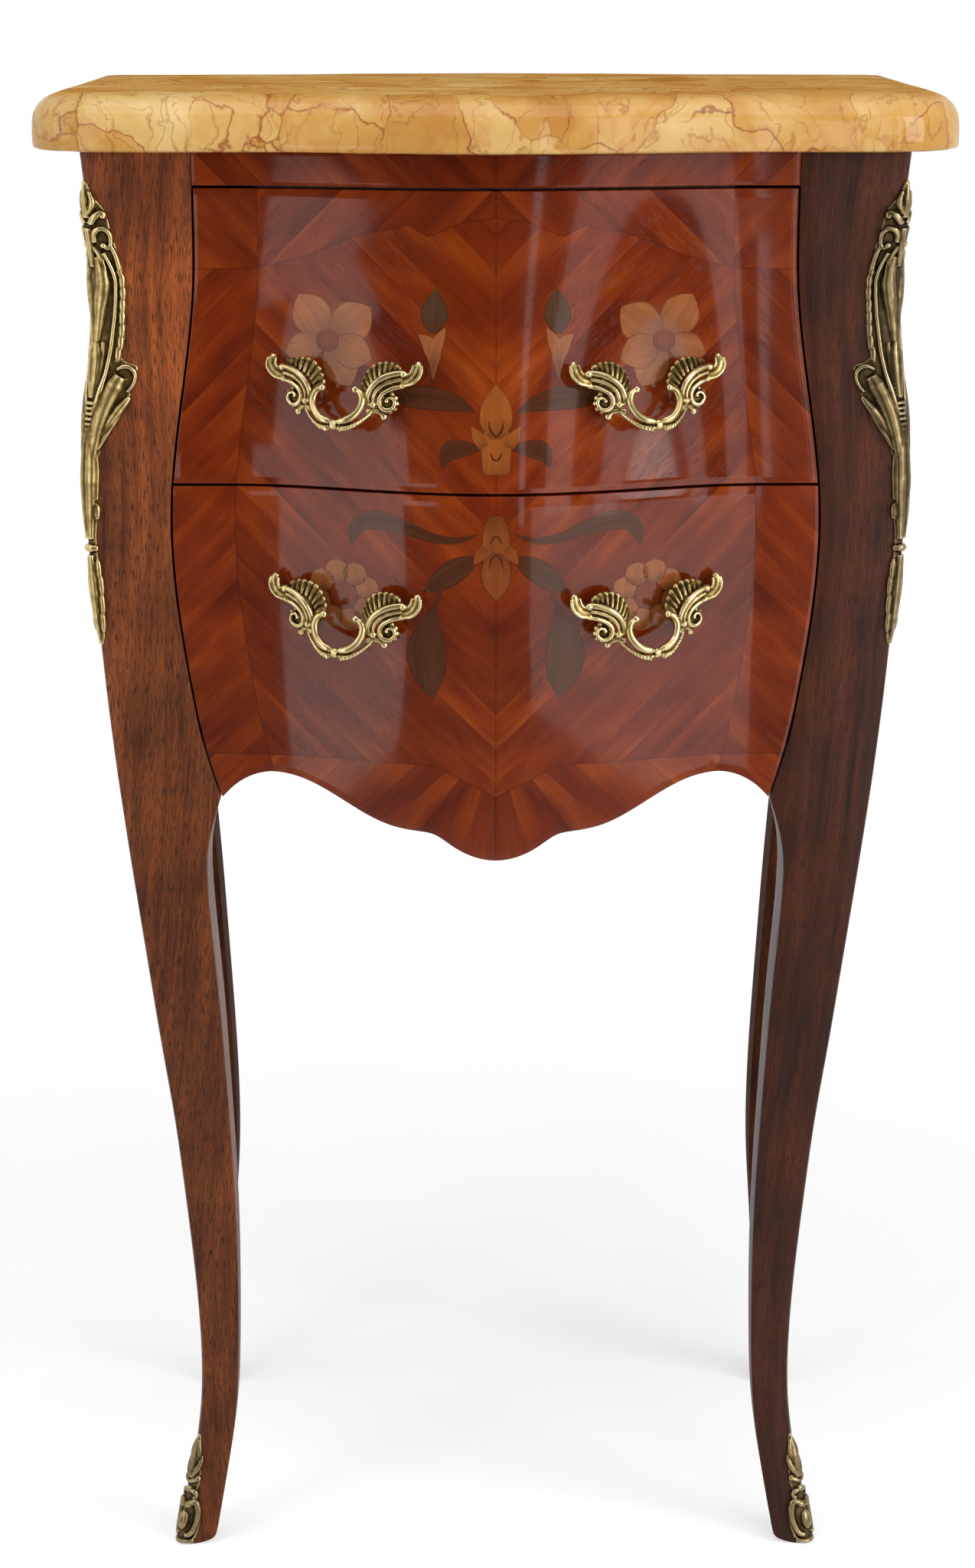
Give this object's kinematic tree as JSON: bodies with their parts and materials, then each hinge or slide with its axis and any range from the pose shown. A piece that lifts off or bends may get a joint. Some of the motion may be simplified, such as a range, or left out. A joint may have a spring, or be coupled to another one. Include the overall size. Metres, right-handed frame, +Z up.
{
  "type": "nightstand",
  "caption": "Bombé bedside chest on slim cabriole legs, with a marble top, marquetry drawers on wooden runners, and gilt brass pulls, corner mounts and shoes.",
  "frame": {"origin": "floor point under the middle of the overall box", "axes": "+Z up, front of the drawers facing -Y, +X to the right of someone facing the drawers"},
  "size_m": [0.4562, 0.3312, 0.7721],
  "materials": {
    "marble": "polished",
    "veneer": "french polished veneer",
    "polished_wood": "french polished",
    "drawer_wood": "plain planed",
    "aged_brass": "aged gilt"
  },
  "bodies": {
    "carcase": {"marble_slab": "marble", "front_leg_left": "polished_wood", "front_leg_right": "polished_wood", "rear_leg_left": "polished_wood", "rear_leg_right": "polished_wood", "side_panel_left": "veneer", "side_panel_right": "veneer", "back_panel": "drawer_wood", "rear_top_rail": "drawer_wood", "frieze_rail": "veneer", "bottom_board": "drawer_wood", "dust_board": "drawer_wood", "lower_runner_left": "drawer_wood", "lower_runner_right": "drawer_wood", "upper_runner_left": "drawer_wood", "upper_runner_right": "drawer_wood", "lower_drawer_stop_left": "drawer_wood", "lower_drawer_stop_right": "drawer_wood", "upper_drawer_stop_left": "drawer_wood", "upper_drawer_stop_right": "drawer_wood", "kicker_left": "drawer_wood", "kicker_right": "drawer_wood", "chute_left": "aged_brass", "chute_right": "aged_brass", "sabot_left": "aged_brass", "sabot_right": "aged_brass"},
    "upper_drawer": {"upper_drawer_front": "veneer", "upper_drawer_side_left": "drawer_wood", "upper_drawer_side_right": "drawer_wood", "upper_drawer_back": "drawer_wood", "upper_drawer_bottom": "drawer_wood", "upper_pull_left": "aged_brass", "upper_pull_right": "aged_brass"},
    "lower_drawer": {"lower_drawer_front": "veneer", "lower_drawer_side_left": "drawer_wood", "lower_drawer_side_right": "drawer_wood", "lower_drawer_back": "drawer_wood", "lower_drawer_bottom": "drawer_wood", "lower_pull_left": "aged_brass", "lower_pull_right": "aged_brass"}
  },
  "joints": [
    {"name": "upper_drawer_slide", "type": "slide", "parent": "carcase", "child": "upper_drawer", "axis": [0, -1, 0], "range_m": [0, 0.16]},
    {"name": "lower_drawer_slide", "type": "slide", "parent": "carcase", "child": "lower_drawer", "axis": [0, -1, 0], "range_m": [0, 0.16]}
  ]
}
